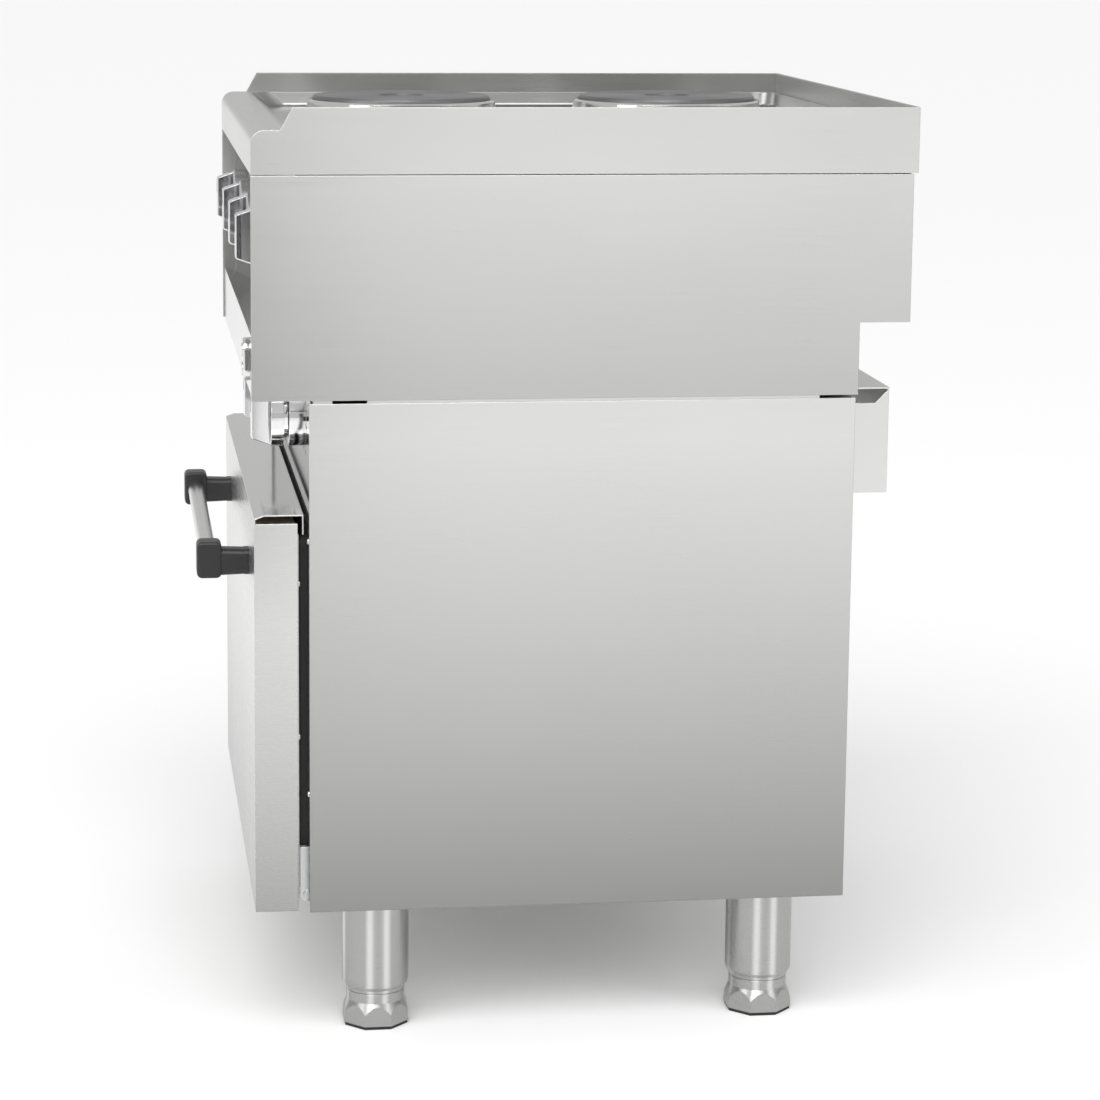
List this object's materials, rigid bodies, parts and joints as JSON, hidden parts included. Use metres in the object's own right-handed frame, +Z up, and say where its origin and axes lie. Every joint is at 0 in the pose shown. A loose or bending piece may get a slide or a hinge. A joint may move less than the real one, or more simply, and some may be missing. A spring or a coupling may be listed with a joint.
{
  "type": "electric range with convection oven",
  "caption": "Free-standing stainless range: round hotplates in a pressed worktop over a convection oven with a drop-down door, knobs and adjustable feet.",
  "frame": {"origin": "middle of the footprint's box on the floor, handle included", "axes": "+X to the right seen from the front, +Y to the back, +Z up"},
  "size_m": [0.6, 0.646, 0.859],
  "materials": {
    "brushed_stainless": "fine horizontal brush",
    "polished_stainless": "polished",
    "chrome": "bright plated",
    "cast_iron": "matt, turned top",
    "zinc_steel": "zinc plated",
    "black_plastic": "fine moulded grain",
    "grey_plastic": "moulded",
    "seal_rubber": "matt",
    "mineral_wool": "fibrous",
    "element_sheath": "heat-darkened sheath",
    "motor_paint": "satin black"
  },
  "bodies": {
    "range_body": {"worktop": "brushed_stainless", "worktop_surround": "brushed_stainless", "hob_side_left": "brushed_stainless", "hob_side_right": "brushed_stainless", "hob_rear_panel": "brushed_stainless", "hob_base_pan": "brushed_stainless", "control_panel": "brushed_stainless", "lower_fascia": "brushed_stainless", "oven_fascia": "brushed_stainless", "cabinet_side_left": "brushed_stainless", "cabinet_side_right": "brushed_stainless", "cabinet_base": "brushed_stainless", "cabinet_back": "brushed_stainless", "cabinet_top": "brushed_stainless", "front_frame": "brushed_stainless", "rear_vent_hood": "brushed_stainless", "cavity_liner": "brushed_stainless", "fan_baffle": "brushed_stainless", "legs": "brushed_stainless", "hotplate_rims": "polished_stainless", "indicator_lamps": "polished_stainless", "panel_screws": "polished_stainless", "leg_bolts": "polished_stainless", "shelf_runners": "polished_stainless", "wire_shelf_lower": "polished_stainless", "wire_shelf_upper": "polished_stainless", "knob_bezels": "chrome", "hotplates": "cast_iron", "hotplate_clamps": "zinc_steel", "hinge_receivers": "zinc_steel", "vent_pipe": "zinc_steel", "control_switches": "black_plastic", "terminal_block": "grey_plastic", "cable_gland": "grey_plastic", "door_seal": "seal_rubber", "cavity_insulation": "mineral_wool", "ring_element": "element_sheath", "thermostat_bulb": "element_sheath", "fan_motor": "motor_paint"},
    "door": {"door_skin": "brushed_stainless", "door_liner": "brushed_stainless", "door_insulation": "mineral_wool", "handle_tube": "brushed_stainless", "handle_brackets": "black_plastic", "hinge_arms": "zinc_steel"},
    "fan": {"fan_wheel": "zinc_steel"},
    "hob_control_1": {"hob_knob_1": "chrome"},
    "hob_control_2": {"hob_knob_2": "chrome"},
    "hob_control_3": {"hob_knob_3": "chrome"},
    "hob_control_4": {"hob_knob_4": "chrome"},
    "oven_control_1": {"oven_knob_1": "chrome"},
    "oven_control_2": {"oven_knob_2": "chrome"},
    "levelling_front_left": {"foot_front_left": "brushed_stainless", "foot_pad_front_left": "seal_rubber"},
    "levelling_front_right": {"foot_front_right": "brushed_stainless", "foot_pad_front_right": "seal_rubber"},
    "levelling_rear_left": {"foot_rear_left": "brushed_stainless", "foot_pad_rear_left": "seal_rubber"},
    "levelling_rear_right": {"foot_rear_right": "brushed_stainless", "foot_pad_rear_right": "seal_rubber"}
  },
  "joints": [
    {"name": "door_hinge", "type": "hinge", "parent": "range_body", "child": "door", "pos_m": [0, -0.227, 0.14], "axis": [1, 0, 0], "range_deg": [0, 90], "stiffness_Nm_per_rad": 3.5, "springref_deg": -68.75},
    {"name": "hob_control_1_turn", "type": "hinge", "parent": "range_body", "child": "hob_control_1", "pos_m": [-0.204, -0.2375, 0.7365], "axis": [0, 1, 0], "range_deg": [0, 300]},
    {"name": "hob_control_2_turn", "type": "hinge", "parent": "range_body", "child": "hob_control_2", "pos_m": [-0.068, -0.2375, 0.7365], "axis": [0, 1, 0], "range_deg": [0, 300]},
    {"name": "hob_control_3_turn", "type": "hinge", "parent": "range_body", "child": "hob_control_3", "pos_m": [0.068, -0.2375, 0.7365], "axis": [0, 1, 0], "range_deg": [0, 300]},
    {"name": "hob_control_4_turn", "type": "hinge", "parent": "range_body", "child": "hob_control_4", "pos_m": [0.204, -0.2375, 0.7365], "axis": [0, 1, 0], "range_deg": [0, 300]},
    {"name": "oven_control_1_turn", "type": "hinge", "parent": "range_body", "child": "oven_control_1", "pos_m": [0.068, -0.224, 0.571], "axis": [0, 1, 0], "range_deg": [0, 270]},
    {"name": "oven_control_2_turn", "type": "hinge", "parent": "range_body", "child": "oven_control_2", "pos_m": [0.204, -0.224, 0.571], "axis": [0, 1, 0], "range_deg": [0, 310]},
    {"name": "fan_spin", "type": "hinge", "parent": "range_body", "child": "fan", "pos_m": [0, 0.1895, 0.3165], "axis": [0, 1, 0], "continuous": true},
    {"name": "foot_adjust_front_left", "type": "slide", "parent": "range_body", "child": "levelling_front_left", "axis": [0, 0, 1], "range_m": [-0.04, 0]},
    {"name": "foot_adjust_front_right", "type": "slide", "parent": "range_body", "child": "levelling_front_right", "axis": [0, 0, 1], "range_m": [-0.04, 0]},
    {"name": "foot_adjust_rear_left", "type": "slide", "parent": "range_body", "child": "levelling_rear_left", "axis": [0, 0, 1], "range_m": [-0.04, 0]},
    {"name": "foot_adjust_rear_right", "type": "slide", "parent": "range_body", "child": "levelling_rear_right", "axis": [0, 0, 1], "range_m": [-0.04, 0]}
  ]
}
